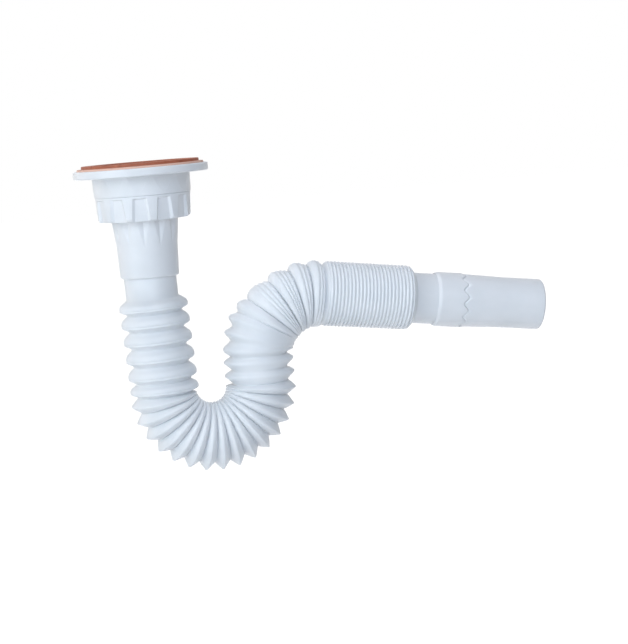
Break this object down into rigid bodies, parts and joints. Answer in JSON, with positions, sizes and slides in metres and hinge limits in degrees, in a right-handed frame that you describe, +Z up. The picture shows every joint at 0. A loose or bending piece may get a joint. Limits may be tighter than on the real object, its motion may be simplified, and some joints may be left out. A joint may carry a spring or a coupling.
{
  "type": "waste trap",
  "caption": "Flexible waste trap: sink flange with gasket, ribbed union nut and tapered cuff on a corrugated hose bent into a water-seal U and an elbow, ending in a plain outlet spigot.",
  "frame": {"origin": "centre of the gasket's top face, where the underside of the sink sits", "axes": "+Z up along the flange axis, +X towards the outlet, the hose lies in the XZ plane"},
  "size_m": [0.3018, 0.0858, 0.2025],
  "materials": {
    "gasket_rubber": "matt moulded rubber, orange",
    "white_moulding": "satin injection-moulded polypropylene, cool white",
    "brass": "turned",
    "seal_rubber": "matt moulded rubber, black",
    "hose_plastic": "satin blow-moulded polypropylene, cool white"
  },
  "bodies": {
    "inlet": {"waste_body": "white_moulding", "flange_gasket": "gasket_rubber", "screw_insert": "brass"},
    "seal": {"cuff_seal": "seal_rubber"},
    "nut": {"union_nut": "white_moulding"},
    "hose": {"top_cuff": "white_moulding", "hose": "hose_plastic"},
    "outlet": {"outlet_spigot": "white_moulding"}
  },
  "joints": [
    {"name": "seal_drop", "type": "slide", "parent": "inlet", "child": "seal", "axis": [0, 0, -1], "range_m": [0, 0.0082]},
    {"name": "nut_turn", "type": "hinge", "parent": "seal", "child": "nut", "pos_m": [0, 0, -0.0286], "axis": [0, 0, -1], "range_deg": [0, 1260]},
    {"name": "hose_swivel", "type": "hinge", "parent": "seal", "child": "hose", "pos_m": [0, 0, -0.0314], "axis": [0, 0, 1], "continuous": true},
    {"name": "outlet_extend", "type": "slide", "parent": "hose", "child": "outlet", "axis": [0.9893, 0, -0.1461], "range_m": [0, 0.15], "deforming": ["hose"]}
  ],
  "couplings": [
    {"joint": "seal_drop", "follows": "nut_turn", "m_per_rad": 0.00036749}
  ]
}
